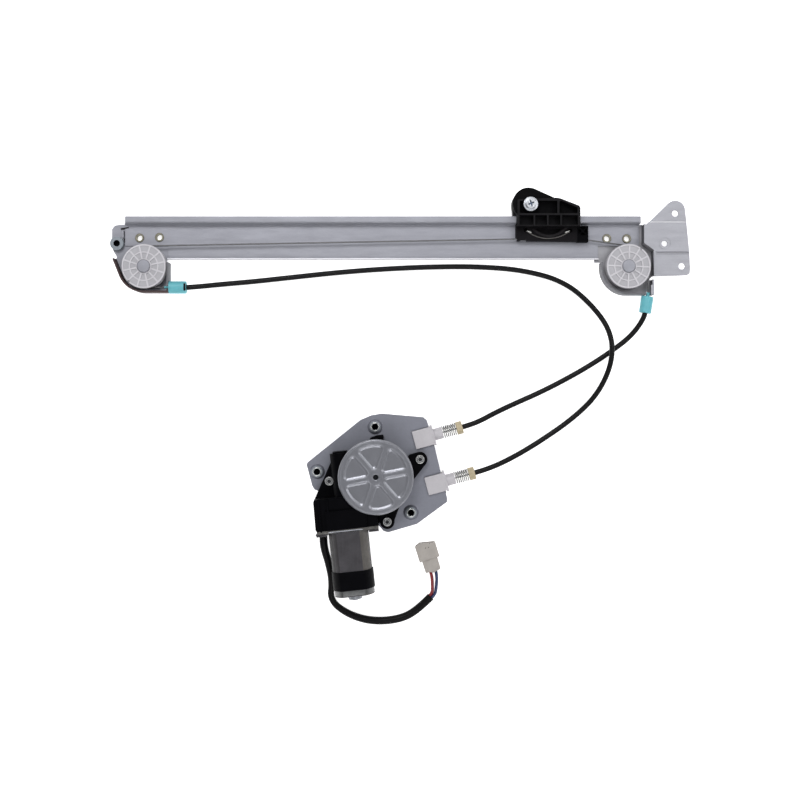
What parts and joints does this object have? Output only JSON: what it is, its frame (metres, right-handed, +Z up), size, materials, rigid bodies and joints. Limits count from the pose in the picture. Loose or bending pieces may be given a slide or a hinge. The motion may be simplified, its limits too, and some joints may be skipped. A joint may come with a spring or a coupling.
{
  "type": "window regulator",
  "caption": "Cable-driven vehicle window regulator with a rail, a glass carrier, pulleys, sheathed cables and a geared electric motor.",
  "frame": {"origin": "centre of the rectangle round the part without its sheathed cables and motor lead, on the surface it lies on", "axes": "+X along the rail towards the end flange, +Y from the motor towards the rail, +Z up from the surface"},
  "size_m": [0.546, 0.4095, 0.0468],
  "materials": {
    "zinc_steel": "zinc plated sheet, satin",
    "plate_steel": "grey passivated sheet, satin",
    "rivet_steel": "plated, satin",
    "cable_steel": "stranded wire rope",
    "spring_steel": "bright plated wire",
    "screw_steel": "bright plated",
    "shaft_steel": "ground",
    "bronze": "sintered bronze",
    "copper": "enamelled wire",
    "tin_plated": "tin plated",
    "natural_acetal": "moulded, natural white",
    "grey_acetal": "moulded, warm grey",
    "teal_nylon": "moulded, pale teal",
    "beige_nylon": "moulded, beige",
    "black_nylon": "moulded, glass filled",
    "grey_nylon": "moulded, dark grey",
    "black_conduit": "extruded, satin",
    "black_sleeve": "soft vinyl tube",
    "can_steel": "black zinc, semi gloss",
    "cover_steel": "grey pressed sheet, semi gloss",
    "offwhite_nylon": "moulded, off white",
    "red_wire": "vinyl insulation",
    "blue_wire": "vinyl insulation",
    "rubber": "moulded",
    "ferrite": "sintered ferrite",
    "carbon": "graphite",
    "lamination": "stacked sheet"
  },
  "bodies": {
    "frame": {"rail": "zinc_steel", "bracket_left": "zinc_steel", "bracket_right": "zinc_steel", "hollow_rivets": "rivet_steel", "rivet_nuts": "rivet_steel", "pulley_axles": "zinc_steel", "cable_wrap_left": "cable_steel", "cable_wrap_right": "cable_steel", "ferrule_left": "teal_nylon", "ferrule_right": "teal_nylon", "conduit_a": "black_conduit", "conduit_b": "black_conduit", "motor_plate": "plate_steel", "drum_housing": "grey_nylon", "guide_upper": "grey_acetal", "guide_lower": "grey_acetal", "spring_upper": "spring_steel", "spring_lower": "spring_steel", "guide_caps": "beige_nylon", "conduit_ends": "black_conduit", "cable_feeds": "cable_steel", "gearbox_housing": "black_nylon", "shaft_bush": "bronze", "disc_cover": "cover_steel", "housing_screws": "screw_steel", "housing_nuts": "rivet_steel", "motor_can": "can_steel", "can_band": "black_nylon", "magnets": "ferrite", "brush_holder": "black_nylon", "brushes": "carbon", "shaft_bearings": "bronze", "lead_grommet": "rubber", "lead_sleeve": "black_sleeve", "wire_red": "red_wire", "wire_blue": "blue_wire", "connector_housing": "offwhite_nylon", "terminals": "tin_plated"},
    "carrier": {"glass_carrier": "black_nylon", "carrier_back": "black_nylon", "slide_shoe": "grey_nylon", "cable_retainer": "black_nylon", "bow_spring": "spring_steel", "clamp_screw": "screw_steel", "clamp_nut": "rivet_steel", "cable_nipples": "rivet_steel", "cable_run_left": "cable_steel", "cable_run_right": "cable_steel"},
    "left_pulley": {"pulley_left": "natural_acetal"},
    "right_pulley": {"pulley_right": "natural_acetal"},
    "drum": {"cable_drum": "natural_acetal", "drum_cable": "cable_steel", "output_shaft": "shaft_steel", "worm_wheel": "grey_acetal", "damper": "rubber"},
    "armature": {"worm_shaft": "shaft_steel", "armature_core": "lamination", "windings": "copper", "commutator": "bronze"}
  },
  "joints": [
    {"name": "motor_spin", "type": "hinge", "parent": "frame", "child": "armature", "pos_m": [-0.04687, -0.12748, 0.031], "axis": [0.1069, -0.9943, 0], "range_deg": [-1541, 50100]},
    {"name": "drum_spin", "type": "hinge", "parent": "frame", "child": "drum", "pos_m": [-0.02126, -0.07755, 0.009], "axis": [0, 0, 1], "range_deg": [-836, 26.5]},
    {"name": "carrier_slide", "type": "slide", "parent": "frame", "child": "carrier", "axis": [1, 0, 0], "range_m": [-0.3255, 0.0105], "deforming": ["cable_run_left", "cable_run_right"]},
    {"name": "pulley_left_spin", "type": "hinge", "parent": "frame", "child": "left_pulley", "pos_m": [-0.23952, 0.11845, 0.0097], "axis": [0, 0, 1], "range_deg": [-30, 956]},
    {"name": "pulley_right_spin", "type": "hinge", "parent": "frame", "child": "right_pulley", "pos_m": [0.21548, 0.11845, 0.0097], "axis": [0, 0, 1], "range_deg": [-30, 956]}
  ],
  "couplings": [
    {"joint": "drum_spin", "follows": "motor_spin", "ratio": -0.016667},
    {"joint": "carrier_slide", "follows": "motor_spin", "m_per_rad": -0.00037167},
    {"joint": "pulley_left_spin", "follows": "motor_spin", "ratio": 0.01906},
    {"joint": "pulley_right_spin", "follows": "motor_spin", "ratio": 0.01906}
  ]
}
